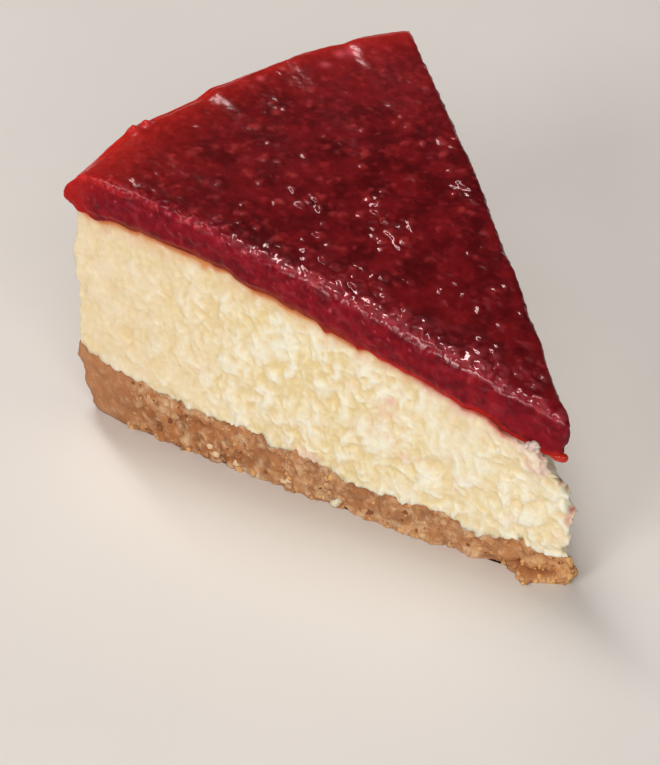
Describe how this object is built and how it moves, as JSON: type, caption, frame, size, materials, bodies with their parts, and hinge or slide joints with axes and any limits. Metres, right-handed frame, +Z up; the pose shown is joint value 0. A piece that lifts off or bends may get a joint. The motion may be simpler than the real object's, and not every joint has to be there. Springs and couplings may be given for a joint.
{
  "type": "slice of cheesecake",
  "caption": "Wedge of raspberry cheesecake: pressed biscuit base, pale soft cheese filling with torn cut faces, and a glossy set berry jelly on top.",
  "frame": {"origin": "middle of the underside of the slice's box, on the surface that it stands on", "axes": "+Z up, +Y from the tip to the rim, +X to the right cut face seen from the tip"},
  "size_m": [0.0792, 0.105, 0.0548],
  "materials": {
    "biscuit": "pressed golden-brown biscuit crumb, dry and rough",
    "cream": "pale cream-coloured soft cheese, moist, torn by the knife",
    "jelly": "deep red set raspberry jelly with pulp, wet and glossy"
  },
  "bodies": {
    "root": {"biscuit_base": "biscuit", "cream_filling": "cream", "berry_topping": "jelly"}
  },
  "joints": []
}
